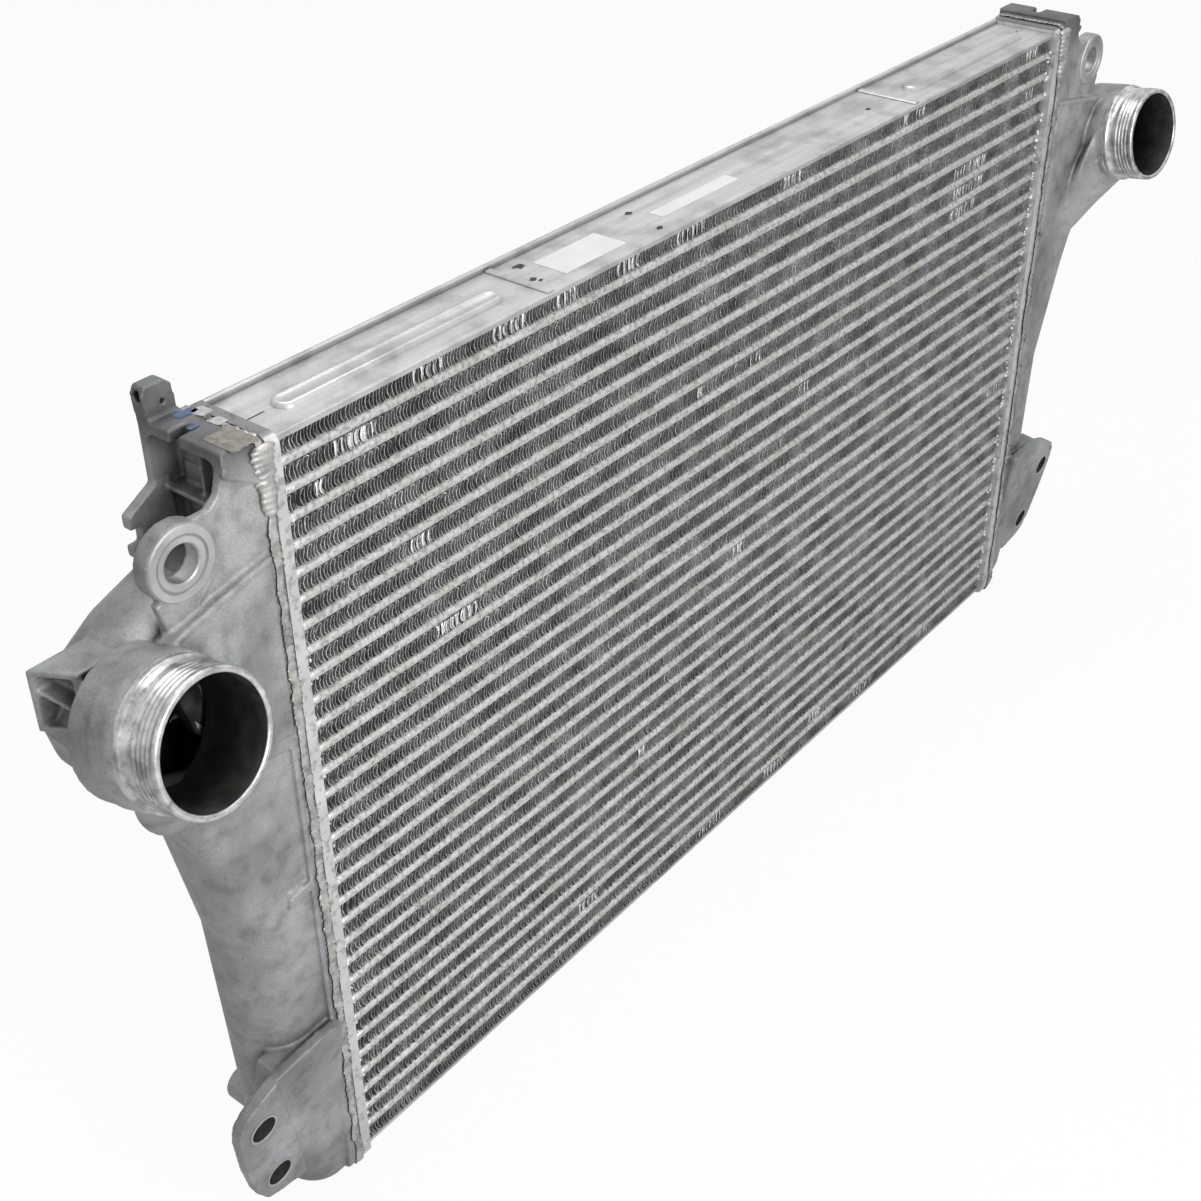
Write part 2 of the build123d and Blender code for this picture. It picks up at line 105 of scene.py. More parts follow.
# %% World
AMBIENT_LIGHT = 0.3
WHITE = (1, 1, 1, 1)
world = bpy.data.worlds.new("studio")
world.use_nodes = True
world_nodes, world_links = world.node_tree.nodes, world.node_tree.links
ambient = world_nodes["Background"]
ambient.inputs["Color"].default_value = WHITE
ambient.inputs["Strength"].default_value = AMBIENT_LIGHT
white_room = world_nodes.new("ShaderNodeBackground")
white_room.inputs["Color"].default_value = WHITE
white_room.inputs["Strength"].default_value = 1.0
ray = world_nodes.new("ShaderNodeLightPath")
mixed_world = world_nodes.new("ShaderNodeMixShader")


def larger(first, second):
    """The larger of two values."""
    node = world_nodes.new("ShaderNodeMath")
    node.operation = "MAXIMUM"
    world_links.new(first, node.inputs[0])
    world_links.new(second, node.inputs[1])
    return node.outputs[0]


seen_in_metal = larger(ray.outputs["Is Camera Ray"], ray.outputs["Is Glossy Ray"])
seen = larger(seen_in_metal, ray.outputs["Is Transmission Ray"])
world_links.new(seen, mixed_world.inputs["Fac"])
world_links.new(ambient.outputs[0], mixed_world.inputs[1])
world_links.new(white_room.outputs[0], mixed_world.inputs[2])
world_links.new(mixed_world.outputs[0], world_nodes["World Output"].inputs["Surface"])
bpy.context.scene.world = world
bpy.context.scene.view_settings.view_transform = "Standard"
print("even light:", AMBIENT_LIGHT)

# %% Lamps
middle = (fins_low + fins_high) / 2


def soft_lamp(name, place, size, power):
    """A square lamp that looks at the middle of the core."""
    data = bpy.data.lights.new(name, "AREA")
    data.size = size
    data.energy = power
    lamp = bpy.data.objects.new(name, data)
    bpy.context.scene.collection.objects.link(lamp)
    lamp.location = middle + Vector(place)
    lamp.rotation_euler = (middle - lamp.location).to_track_quat("-Z", "Y").to_euler()
    print(name, "at:", lamp.location)


soft_lamp("front_lamp", place=(-0.7, -1.9, 0.9), size=1.1, power=34)
soft_lamp("top_lamp", place=(0.1, 0.3, 2.2), size=1.4, power=24)

# %% Floor
FLOOR_GAP = 2 * MM
FLOOR_SIZE = 30
FLOOR_GREY = (0.86, 0.86, 0.86, 1)
FLOOR_GLOW = 0.94         # how much of its own even white the camera sees
floor_z = solid_box[0][2] - FLOOR_GAP
bpy.ops.mesh.primitive_plane_add(size=FLOOR_SIZE, location=(0, 0, floor_z))
floor = bpy.context.object
floor.name = "floor"
floor_material = bpy.data.materials.new("pale_floor")
floor_material.use_nodes = True
floor_nodes, floor_links = floor_material.node_tree.nodes, floor_material.node_tree.links
paint = floor_nodes["Principled BSDF"]
paint.inputs["Base Color"].default_value = FLOOR_GREY
paint.inputs["Roughness"].default_value = 0.9
glow = floor_nodes.new("ShaderNodeEmission")
floor_ray = floor_nodes.new("ShaderNodeLightPath")
share = floor_nodes.new("ShaderNodeMath")
share.operation = "MULTIPLY"
share.inputs[1].default_value = FLOOR_GLOW
floor_mix = floor_nodes.new("ShaderNodeMixShader")
floor_links.new(floor_ray.outputs["Is Camera Ray"], share.inputs[0])
floor_links.new(share.outputs[0], floor_mix.inputs["Fac"])
floor_links.new(paint.outputs[0], floor_mix.inputs[1])
floor_links.new(glow.outputs[0], floor_mix.inputs[2])
floor_links.new(floor_mix.outputs[0], floor_nodes["Material Output"].inputs["Surface"])
floor.data.materials.append(floor_material)
print("floor height:", floor_z)

# %% [markdown]
# ## Places on the cooler
# Most places are counted from the core: out past its end, back from its front and up from
# its underside. One function turns them into a point on either side, so that both tanks come
# from the same numbers. The hose spigots are found from the record's mounts.

# %% Places
tray_face = fins_high[0]
core_bottom = fins_low[2]


def at(side, out, back, up):
    """A point beside the core in millimetres; side is -1 for the inlet and 1 for the outlet."""
    return Vector((side * (tray_face + out * MM), core_front + back * MM, core_bottom + up * MM))


mounts = {mount["name"]: mount for mount in frame["record"]["mounts"]}
SIDES = {"inlet": -1, "outlet": 1}
MOUNT_TO_MOUTH = 22.9 * MM


def spigot(word):
    """The middle of a spigot's mouth, and the direction that it looks."""
    mount = mounts[f"{word}_spigot"]
    axis = Vector(mount["axis"]).normalized()
    return Vector(mount["pos_m"]) + axis * MOUNT_TO_MOUTH, axis


print("inlet mouth:", spigot("inlet"))

# %% [markdown]
# ## Finishes
# All of the cooler is aluminium, but each piece was made another way and looks different.
# The tanks are sand cast and dull, with a fine grain. The tubes carry grey and beige traces
# of the flux that they were brazed with. A finish here is one shader with a mottled colour
# from a soft noise, and a bump from a finer one. All noises read Object coordinates, so the
# pattern stays on the piece. A class keeps the shader and the colour so far together, so that
# each finish below reads as a short recipe.

# %% The parts of a finish
SHELTER_SAMPLES = 8


class Finish:
    """One metal finish: a principled shader and the nodes that feed it."""

    def __init__(self, name, metallic, roughness):
        self.material = bpy.data.materials.new(name)
        self.material.use_nodes = True
        tree = self.material.node_tree
        self.nodes, self.links = tree.nodes, tree.links
        self.shader = self.nodes["Principled BSDF"]
        self.shader.inputs["Metallic"].default_value = metallic
        self.shader.inputs["Roughness"].default_value = roughness
        self.place = self.nodes.new("ShaderNodeTexCoord").outputs["Object"]
        self.color = None
        self.normal = None

    def stretched(self, stretch):
        """Object coordinates, longer or shorter along each axis."""
        mapping = self.nodes.new("ShaderNodeMapping")
        mapping.inputs["Scale"].default_value = stretch
        self.links.new(self.place, mapping.inputs["Vector"])
        return mapping.outputs["Vector"]

    def cloud(self, size, detail=4.0, stretch=(1, 1, 1)):
        """A soft noise; size is that of its spots, in metres."""
        texture = self.nodes.new("ShaderNodeTexNoise")
        texture.inputs["Scale"].default_value = 1 / size
        texture.inputs["Detail"].default_value = detail
        self.links.new(self.stretched(stretch), texture.inputs["Vector"])
        return texture.outputs["Fac"]

    def above(self, height, blend):
        """A mask that grows from 0 to 1 over a stretch above some height."""
        split = self.nodes.new("ShaderNodeSeparateXYZ")
        self.links.new(self.place, split.inputs["Vector"])
        span = self.nodes.new("ShaderNodeMapRange")
        span.inputs["From Min"].default_value = height
        span.inputs["From Max"].default_value = height + blend
        self.links.new(split.outputs["Z"], span.inputs["Value"])
        return span.outputs["Result"]

    def ramp(self, value, *stops):
        """Turns a value into a colour: each stop is a place and a grey or a colour."""
        ramp = self.nodes.new("ShaderNodeValToRGB")
        elements = ramp.color_ramp.elements
        while len(elements) < len(stops):
            elements.new(0.5)
        for element, (position, shade) in zip(elements, stops):
            element.position = position
            element.color = (*shade, 1) if isinstance(shade, tuple) else (shade,) * 3 + (1,)
        self.links.new(value, ramp.inputs["Fac"])
        return ramp.outputs["Color"]

    def tint(self, value):
        """Multiplies the colour so far by another, or sets the first one."""
        if self.color is None:
            self.color = value
        else:
            mix = self.nodes.new("ShaderNodeMix")
            mix.data_type = "RGBA"
            mix.blend_type = "MULTIPLY"
            mix.inputs["Factor"].default_value = 1
            self.links.new(self.color, mix.inputs[6])
            self.links.new(value, mix.inputs[7])
            self.color = mix.outputs[2]
        self.links.new(self.color, self.shader.inputs["Base Color"])

    def bump(self, value, depth):
        """Raises the surface by the value; depth is in metres."""
        bump = self.nodes.new("ShaderNodeBump")
        bump.inputs["Distance"].default_value = depth
        self.links.new(value, bump.inputs["Height"])
        if self.normal is not None:
            self.links.new(self.normal, bump.inputs["Normal"])
        self.normal = bump.outputs["Normal"]
        self.links.new(self.normal, self.shader.inputs["Normal"])

    def shade_and_grime(self, reach, depth):
        """Darkens corners, grooves and seams: painted shade, with the grime that collects there."""
        # Painted shade: the colour is multiplied down wherever the surface is sheltered.
        shelter = self.nodes.new("ShaderNodeAmbientOcclusion")
        shelter.samples = SHELTER_SAMPLES
        shelter.inputs["Distance"].default_value = reach
        self.tint(self.ramp(shelter.outputs["AO"], (0.35, depth), (0.85, 1.0)))

    def gloss(self, value, low, high):
        """Lets the roughness follow a value, from low to high."""
        span = self.nodes.new("ShaderNodeMapRange")
        span.inputs["To Min"].default_value = low
        span.inputs["To Max"].default_value = high
        self.links.new(value, span.inputs["Value"])
        self.links.new(span.outputs["Result"], self.shader.inputs["Roughness"])


# %% [markdown]
# ### Cast and turned metal
# Sand casting leaves a dull grain over slow, cloudy stains. Soot from the engine darkens the roof,
# and painted shade darkens the lower tank, so two masks on height lie over the stains. Painted shade
# with grime darkens the corners. A turned face is bright, with painted shade and dirt only in its
# grooves, and the inside of the pipe gets near-black painted shade.

# %% Cast and turned finishes
roof_start = fins_high[2] - 15 * MM
# Where the painted shade of the lower tank ends.
painted_shade_top = core_bottom + 380 * MM


def cast_finish(name, dark, light):
    """Dull grey metal with stains, grain, a dark roof, and painted shade towards the foot and in
    corners.
    """
    finish = Finish(name, 0.3, 0.5)
    spots = finish.cloud(70 * MM, 7)
    finish.tint(finish.ramp(spots, (0.32, dark), (0.68, light)))
    stains = finish.cloud(14 * MM, 6)
    finish.tint(finish.ramp(stains, (0.3, 0.72), (0.5, 1.0), (0.7, 1.12)))
    grain = finish.cloud(1.3 * MM, 3)
    finish.tint(finish.ramp(grain, (0.3, 0.82), (0.7, 1.10)))
    roof = finish.above(roof_start, 30 * MM)
    finish.tint(finish.ramp(roof, (0.0, 1.0), (1.0, 0.40)))
    # Painted shade: the lower tank is darker, and this fades out over a stretch above that height.
    above_painted_shade = finish.above(painted_shade_top, 120 * MM)
    finish.tint(finish.ramp(above_painted_shade, (0.0, 0.80), (1.0, 1.0)))
    # Painted shade, with grime, in the casting's corners.
    finish.shade_and_grime(14 * MM, 0.35)
    finish.gloss(finish.cloud(20 * MM), 0.40, 0.60)
    finish.bump(grain, 0.12 * MM)
    finish.bump(finish.cloud(7 * MM, 3), 0.5 * MM)
    return finish.material


def shade_and_dirt_black_finish():
    """Near-black painted shade for the insides of tanks, bores, holes and slits; also dark dirt marks.
    """
    finish = Finish("painted_shade_and_dirt_black", 0.0, 0.4)
    finish.tint(finish.ramp(finish.cloud(12 * MM, 6), (0.35, 0.003), (0.8, (0.045, 0.044, 0.040))))
    finish.gloss(finish.cloud(8 * MM), 0.5, 0.8)
    return finish.material


def machined_finish():
    """Bright metal off a lathe, handled and a little dirty, with painted shade in its grooves."""
    finish = Finish("turned_aluminium", 0.85, 0.3)
    finish.tint(finish.ramp(finish.cloud(10 * MM, 6), (0.32, 0.30), (0.5, 0.52), (0.7, 0.72)))
    finish.tint(finish.ramp(finish.cloud(4 * MM, 6), (0.34, 0.75), (0.44, 1.0)))
    # Painted shade, with grime, in the grooves.
    finish.shade_and_grime(3 * MM, 0.25)
    finish.gloss(finish.cloud(5 * MM), 0.2, 0.45)
    finish.bump(finish.cloud(0.8 * MM, 2), 0.05 * MM)
    return finish.material


cast = cast_finish("sand_cast_aluminium", (0.21, 0.214, 0.21), (0.44, 0.45, 0.46))
# Near-black: painted shade in the tanks, bores, holes and slits, and dark dirt marks on the top plate.
shade_and_dirt_black = shade_and_dirt_black_finish()
machined = machined_finish()
print("made:", cast.name, shade_and_dirt_black.name, machined.name)

# %% [markdown]
# ### Sheet, tubes and fins
# Rolled sheet is smoother than a casting, so its clouds differ less. Handling smudges the plate,
# the weld stains the header's rim, and flux leaves pale and beige spots on the tubes. The fins
# are so small that a slow change of grey from place to place is all that shows.

# %% Sheet, tube and fin finishes


def sheet_finish(name, dark, light, roughness):
    """Plain sheet between two greys."""
    finish = Finish(name, 0.6, roughness)
    finish.tint(finish.ramp(finish.cloud(30 * MM, 6), (0.3, dark), (0.7, light)))
    finish.gloss(finish.cloud(12 * MM), roughness - 0.1, roughness + 0.12)
    finish.bump(finish.cloud(2.5 * MM, 3), 0.1 * MM)
    return finish.material


def header_finish():
    """Bright sheet whose upper rim is stained by the weld beside it."""
    finish = Finish("header_sheet", 0.6, 0.48)
    finish.tint(finish.ramp(finish.cloud(30 * MM, 6), (0.3, 0.50), (0.7, 0.66)))
    rim = finish.above(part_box("inlet_header")[1][2] - 1.5 * MM, 1.0 * MM)
    finish.tint(finish.ramp(rim, (0.0, 1.0), (1.0, 0.36)))
    finish.tint(finish.ramp(finish.cloud(6 * MM, 6), (0.34, 0.62), (0.46, 1.0)))
    finish.gloss(finish.cloud(12 * MM), 0.38, 0.60)
    finish.bump(finish.cloud(2.5 * MM, 3), 0.15 * MM)
    return finish.material


def plate_finish():
    """Rolled sheet: long pale streaks, cloudy smudges and small dark specks."""
    finish = Finish("plate_sheet", 0.65, 0.4)
    streaks = finish.cloud(9 * MM, 6, (0.06, 1, 1))
    finish.tint(finish.ramp(streaks, (0.3, 0.44), (0.7, 0.60)))
    finish.tint(finish.ramp(finish.cloud(28 * MM, 7), (0.34, 0.72), (0.52, 1.0)))
    finish.tint(finish.ramp(finish.cloud(1.8 * MM, 2), (0.24, 0.45), (0.30, 1.0)))
    # Painted shade, with grime, in the plate's corners and round its beads.
    finish.shade_and_grime(7 * MM, 0.4)
    finish.gloss(finish.cloud(18 * MM, 5, (0.2, 1, 1)), 0.28, 0.55)
    finish.bump(finish.cloud(40 * MM, 2), 0.8 * MM)
    return finish.material


def tube_finish():
    """Brazed tube: grey to beige, with pale spots of flux."""
    finish = Finish("brazed_tube", 0.45, 0.5)
    beige, grey = (0.45, 0.45, 0.42), (0.55, 0.56, 0.56)
    finish.tint(finish.ramp(finish.cloud(35 * MM, 5), (0.3, beige), (0.7, grey)))
    finish.tint(finish.ramp(finish.cloud(3.5 * MM, 5), (0.36, 0.62), (0.5, 1.0), (0.68, 1.18)))
    finish.gloss(finish.cloud(4 * MM), 0.38, 0.62)
    finish.bump(finish.cloud(2.2 * MM, 4), 0.35 * MM)
    return finish.material


def fin_finish(name, dark, light, roughness):
    """Thin bright sheet that is darker in patches."""
    finish = Finish(name, 0.75, roughness)
    finish.tint(finish.ramp(finish.cloud(26 * MM, 6), (0.32, dark), (0.68, light)))
    finish.tint(finish.ramp(finish.cloud(2.6 * MM, 3), (0.35, 0.6), (0.6, 1.1)))
    return finish.material


worn = sheet_finish("worn_pad", 0.30, 0.56, 0.42)
header_sheet = header_finish()
plate_sheet = plate_finish()
tube_skin = tube_finish()
fin_sheet = fin_finish("fin_sheet", 0.32, 0.72, 0.38)
# The fins' front edges: a paler copy of the fin sheet, as a painted highlight.
fin_edge_highlight = fin_finish("fin_edge_highlight", 0.34, 0.78, 0.32)
# Bent fins: far paler than the fin sheet, as a painted highlight.
leaf_highlight = sheet_finish("leaf_highlight", 0.80, 0.96, 0.42)
print("made:", header_sheet.name, plate_sheet.name, tube_skin.name, fin_sheet.name)

# %% [markdown]
# ### Weld metal, braze and film
# A weld freezes rough, with painted shade between its scales, while spare braze metal stays bright.
# The labels are a plain film, smoother than any of the metal.

# %% Weld, braze and film finishes


def weld_finish():
    """Rough weld metal, with painted shade between the scales."""
    finish = Finish("weld_metal", 0.5, 0.45)
    dark, light = (0.22, 0.217, 0.208), (0.52, 0.51, 0.49)
    finish.tint(finish.ramp(finish.cloud(9 * MM, 6), (0.3, dark), (0.7, light)))
    # Painted shade, with grime, between the scales.
    finish.shade_and_grime(5 * MM, 0.3)
    finish.bump(finish.cloud(3 * MM, 4), 0.4 * MM)
    return finish.material


def film_finish():
    """Blank pale film."""
    finish = Finish("blank_film", 0.0, 0.35)
    finish.tint(finish.ramp(finish.cloud(20 * MM, 4), (0.3, 0.72), (0.7, 0.80)))
    finish.bump(finish.cloud(6 * MM, 3), 0.1 * MM)
    return finish.material


weld_metal = weld_finish()
braze_crumb = sheet_finish("braze_crumb", 0.66, 0.84, 0.55)
film = film_finish()
print("made:", weld_metal.name, braze_crumb.name, film.name)

# %% [markdown]
# ## Putting a finish on a solid
# A solid that already has the right shape stays as it is and only gets its finish.

# %% Finishes of the solids that stay
KEPT = {
    "inlet_header": header_sheet,
    "outlet_header": header_sheet,
    "top_plate": plate_sheet,
    "bottom_plate": plate_sheet,
    "turbulators": fin_sheet,
    "inner_label": film,
    "outer_label": film,
}
for node, finish in KEPT.items():
    slots = nodes[node].material_slots
    if not slots:
        nodes[node].data.materials.append(finish)
    for each in slots:
        each.material = finish
print("solids that stay:", *KEPT)

# %% [markdown]
# ## New pieces
# Every new piece ends the same way: its mesh becomes an object at the origin, rides with the cooler,
# and hides the solids that it stands for.

# %% Piece helpers


def add_piece(name, mesh, slot, *stands_for):
    """Makes an object that rides with the cooler and stands for some of its solids."""
    piece = bpy.data.objects.new(name, mesh)
    bpy.context.scene.collection.objects.link(piece)
    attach(piece, "root")
    if stands_for:
        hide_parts(*stands_for)
    return piece


def finished(mesh, *materials):
    """Gives a mesh these finishes in place of any that it has."""
    mesh.materials.clear()
    for material in materials:
        mesh.materials.append(material)
    return mesh


def mesh_of(bm, name, *materials):
    """Turns a bmesh into a mesh and frees it."""
    mesh = bpy.data.meshes.new(name)
    bm.to_mesh(mesh)
    bm.free()
    return finished(mesh, *materials)


def applied(mesh, *modifiers):
    """The mesh after some modifiers; each is a type and its settings."""
    carrier = bpy.data.objects.new("carrier", mesh)
    bpy.context.scene.collection.objects.link(carrier)
    for kind, settings in modifiers:
        modifier = carrier.modifiers.new(kind, kind)
        for key, value in settings.items():
            setattr(modifier, key, value)
    graph = bpy.context.evaluated_depsgraph_get()
    result = bpy.data.meshes.new_from_object(carrier.evaluated_get(graph))
    bpy.data.objects.remove(carrier)
    return result


# %% [markdown]
# ## Air fins
# Between two tubes stands a long strip of thin sheet, folded up and down. One fold is drawn
# as a chain of edges and pulled back through the core, an Array repeats it, and a Solidify
# gives it its thickness. The folds were pressed together when the core was stacked, so their
# legs bulge, and no two are quite the same.

# %% One row of fins
FOLD_PITCH = 5.74 * MM
FIN_SHEET = 0.4 * MM
FIN_BULGE = 0.62          # of half a fold's pitch
row_height = 12 * MM
row_pitch = 20 * MM
row_count = 32
core_width = fins_high[0] - fins_low[0]
fold_count = round(core_width / FOLD_PITCH)


def fold_chain():
    """One fold from bottom to bottom: across and up, in parts of a leg's spacing and height."""
    steps = (0.07, 0.36, 0.64, 0.93)
    leg = [(-FIN_BULGE * math.sin(math.pi * up), up) for up in steps]
    back = [(1 + across, 1 - up) for across, up in leg]
    return [*leg, (0.3, 1.0), (0.8, 1.0), *back, (1.2, 0.0), (1.8, 0.0)]


def fin_row_mesh():
    """All folds of one row, with their thickness."""
    half_pitch = core_width / fold_count / 2
    half_sheet = FIN_SHEET / 2
    inner_height = row_height - FIN_SHEET
    bm = bmesh.new()
    chain = []
    for across, up in [*fold_chain(), (2.0, 0.06)]:
        place = (across * half_pitch, fins_low[1], half_sheet + up * inner_height)
        chain.append(bm.verts.new(place))
    edges = [bm.edges.new(pair) for pair in zip(chain, chain[1:])]
    pulled = bmesh.ops.extrude_edge_only(bm, edges=edges)["geom"]
    moved = [item for item in pulled if isinstance(item, bmesh.types.BMVert)]
    bmesh.ops.translate(bm, verts=moved, vec=(0, fins_high[1] - fins_low[1], 0))
    fold = mesh_of(bm, "fold")
    array = dict(
        use_relative_offset=False, use_constant_offset=True, count=fold_count,
        constant_offset_displace=(2 * half_pitch, 0, 0),
        use_merge_vertices=True, merge_threshold=0.01 * MM,
    )
    solid = dict(thickness=FIN_SHEET, offset=0, use_even_offset=False)
    return applied(fold, ("ARRAY", array), ("SOLIDIFY", solid))


fin_row = finished(fin_row_mesh(), fin_sheet, fin_edge_highlight)
# Faces that look to the front get the painted highlight of the edges.
for face in fin_row.polygons:
    face.material_index = 1 if abs(face.normal.y) > 0.9 else 0
print("faces in a row of fins:", len(fin_row.polygons))

# %% All rows of fins
FINE_SWAY, SLOW_SWAY = 1.1, 0.9     # sideways, in millimetres
PUSHED_BACK = 2.0                   # at the front, in millimetres
END_STRETCH = 16 * MM               # beside the headers, where the fins are crushed more
END_CRUSH = 1.5                     # in millimetres
HELD_END = 4 * MM                   # where the fins can't move sideways
HELD_SHARE = 0.35                   # how much a fold still moves where it is brazed to a tube


def crush(place, row):
    """How far a point of the fins was pushed sideways and back."""
    spot = Vector((place.x * 190, place.z * 60, row * 3.7))
    slow = noise.noise(Vector((place.x * 22, row * 1.3, 5.0)))
    side = (FINE_SWAY * noise.noise(spot) + SLOW_SWAY * slow) * MM
    back = max(0.0, noise.noise(spot + Vector((9, 0, 0))) + 0.15) * PUSHED_BACK * MM
    near_end = tray_face - abs(place.x)
    if near_end < END_STRETCH:
        side += END_CRUSH * noise.noise(spot * 2.3) * MM
        back += END_CRUSH * abs(noise.noise(spot * 1.7)) * MM
    return side, back


def within_unit(value):
    """Limits a value to 0 to 1."""
    return min(1.0, max(0.0, value))


def crushed_row(row):
    """A copy of the row at its height, with its own crushed folds."""
    mesh = fin_row.copy()
    base = fins_low[2] + row * row_pitch
    for vertex in mesh.vertices:
        vertex.co.x += fins_low[0]
        side, back = crush(vertex.co, row)
        inside = within_unit((tray_face - abs(vertex.co.x)) / HELD_END)
        free = math.sin(math.pi * within_unit(vertex.co.z / row_height))
        vertex.co.x += side * inside * (HELD_SHARE + (1 - HELD_SHARE) * free)
        if vertex.co.y < middle.y:
            vertex.co.y += back
        vertex.co.z += base
        vertex.co.x = max(fins_low[0], min(fins_high[0], vertex.co.x))
    return mesh


for row in range(row_count):
    add_piece(f"fin_row_{row + 1:02d}", crushed_row(row), "fin_aluminium", "air_fins")
print("rows of fins:", row_count)

# %% [markdown]
# ## Bent fins
# Careless handling has flattened some fins, and the flattened sheet throws back the light, so its
# finish is much paler than the fins': a painted highlight.
# Each patch is a row of small leaves, bent over at random, laid where the fins were hit.

# %% Bent fins
BENT_PATCHES = [   # across, row, how many leaves
    (830, 27, 11), (832, 26, 10), (829, 25, 9), (106, 25, 4), (122, 21, 8), (131, 21, 5),
    (48, 30, 5), (28, 29, 2), (61, 30, 4), (504, 24, 3), (583, 21, 3), (962, 13, 5),
    (951, 31, 4), (961, 29, 3), (746, 31, 3), (725, 31, 2), (355, 8, 2), (489, 15, 3),
    (430, 24, 2), (270, 2, 5), (450, 0, 7), (560, 0, 6), (718, 0, 8), (860, 0, 5), (640, 1, 4),
    (120, 31, 5), (196, 31, 6), (329, 31, 5), (262, 31, 4), (400, 31, 6), (540, 31, 5),
]
LEAF_SHEET = 0.25 * MM
LEAF_STEPS = 5


def leaf(bm, across, row, lean):
    """One flattened leg of a fold: a strip with a curl, given its thickness later."""
    base = core_bottom + row * row_pitch
    x = -tray_face + across * MM
    reach = random.uniform(2.2, 3.8) * MM
    strip = []
    for step in range(LEAF_STEPS + 1):
        up = step / LEAF_STEPS
        bow = math.sin(math.pi * up)
        left = (
            x + (lean * bow - 0.4) * MM,
            core_front + (1.3 + 0.5 * (1 - bow)) * MM,
            base + (0.6 + 10.8 * up) * MM,
        )
        right = (left[0] + reach, left[1] + random.uniform(0.6, 1.8) * MM, left[2])
        strip.append([bm.verts.new(left), bm.verts.new(right)])
    for low, high in zip(strip, strip[1:]):
        bmesh.ops.contextual_create(bm, geom=low + high)


def bent_fins():
    """All leaves as one piece, a fold's pitch apart in each patch."""
    bm = bmesh.new()
    for across, row, count in BENT_PATCHES:
        for number in range(count):
            place = across + number * FOLD_PITCH / MM + random.gauss(0, 0.6)
            leaf(bm, place, row, random.gauss(-1.2, 0.9))
    bmesh.ops.recalc_face_normals(bm, faces=bm.faces[:])
    rough = mesh_of(bm, "leaves")
    mesh = applied(rough, ("SOLIDIFY", dict(thickness=LEAF_SHEET, offset=0)))
    # The leaves take the pale finish of the painted highlight.
    finished(mesh, leaf_highlight)
    mesh.shade_smooth()
    print("bent fin faces:", len(mesh.polygons))
    return add_piece("bent_fins", mesh, "fin_aluminium", "air_fins")


bent_fins()

# %% [markdown]
# ## Tubes
# A real tube has round noses, where the solid one has flats. Each tube starts as a circle
# whose halves are moved apart, and it is pulled along the core. Small dents are pushed into
# it, and a Solidify gives it its wall.

# %% Tubes
TUBE_NOSE_SIDES = 16
TUBE_RINGS = 60
TUBE_WALL = 0.8 * MM
DENT_DEPTH = 1.1 * MM
BRAZED_END = 12 * MM      # no dents where the header holds the tube


def tube_piece(node, index):
    """One tube in the place of its solid, with its own dents."""
    low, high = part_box(node)
    height, depth, length = high[2] - low[2], high[1] - low[1], high[0] - low[0]
    bm = bmesh.new()
    half_step = math.pi / TUBE_NOSE_SIDES
    turn = Matrix.Rotation(math.radians(90), 4, "Y") @ Matrix.Rotation(half_step, 4, "Z")
    ring = bmesh.ops.create_circle(
        bm, segments=TUBE_NOSE_SIDES, radius=height / 2 / math.cos(half_step), matrix=turn
    )["verts"]
    for vertex in ring:
        vertex.co.y += math.copysign((depth - height) / 2, vertex.co.y)
    centre = Vector((low[0], (low[1] + high[1]) / 2, (low[2] + high[2]) / 2))
    bmesh.ops.translate(bm, verts=ring, vec=centre)
    pulled = bmesh.ops.extrude_edge_only(bm, edges=bm.edges[:])["geom"]
    end = [item for item in pulled if isinstance(item, bmesh.types.BMVert)]
    bmesh.ops.translate(bm, verts=end, vec=(length, 0, 0))
    along = [edge for edge in bm.edges if abs(edge.verts[0].co.x - edge.verts[1].co.x) > length / 2]
    bmesh.ops.subdivide_edges(bm, edges=along, cuts=TUBE_RINGS, use_grid_fill=True)
    for vertex in bm.verts:
        spot = Vector((vertex.co.x * 45, vertex.co.z * 60, index * 2.3))
        dent = max(0.0, noise.noise(spot) - 0.1) * DENT_DEPTH
        toward_middle = math.copysign(1, centre.y - vertex.co.y)
        if low[0] + BRAZED_END < vertex.co.x < high[0] - BRAZED_END:
            vertex.co.y += toward_middle * dent
    bmesh.ops.recalc_face_normals(bm, faces=bm.faces)
    bmesh.ops.solidify(bm, geom=bm.faces[:], thickness=TUBE_WALL)
    bmesh.ops.recalc_face_normals(bm, faces=bm.faces)
    mesh = mesh_of(bm, node, tube_skin)
    mesh.shade_smooth()
    return add_piece(f"{node}_skin", mesh, "tube_aluminium", node)


tube_names = sorted(name for name in nodes if name.startswith("tube_"))
for index, node in enumerate(tube_names):
    tube_piece(node, index)
print("tubes:", len(tube_names))

# %% [markdown]
# ## Cast tanks
# Molten metal can't fill a sharp corner, so a sand casting has soft edges and filled corners
# everywhere. Bevelling every edge of the solid would be slow and fragile. Instead the copy of
# the solid gets a few raised shapes laid into it, and a voxel remesh fuses them all into one
# skin, which smoothing then softens. The turned spigot must stay sharp, so it is cut off here
# and made as a piece of its own.

# %% Tools for raised shapes
def hull(bm, points):
    """Adds the convex solid around some points."""
    verts = [bm.verts.new(point) for point in points]
    bmesh.ops.convex_hull(bm, input=verts)


def circle_points(centre, axis, radius, count=36):
    """Points round an axis."""
    turn = axis.to_track_quat("Z", "Y").to_matrix()
    angles = [math.tau * step / count for step in range(count)]
    return [centre + turn @ Vector((math.cos(a), math.sin(a), 0)) * radius for a in angles]


def block(bm, side, plan, ups):
    """An upright shape: a plan of out and back, from one height to another."""
    hull(bm, [at(side, out, back, up) for out, back in plan for up in ups])


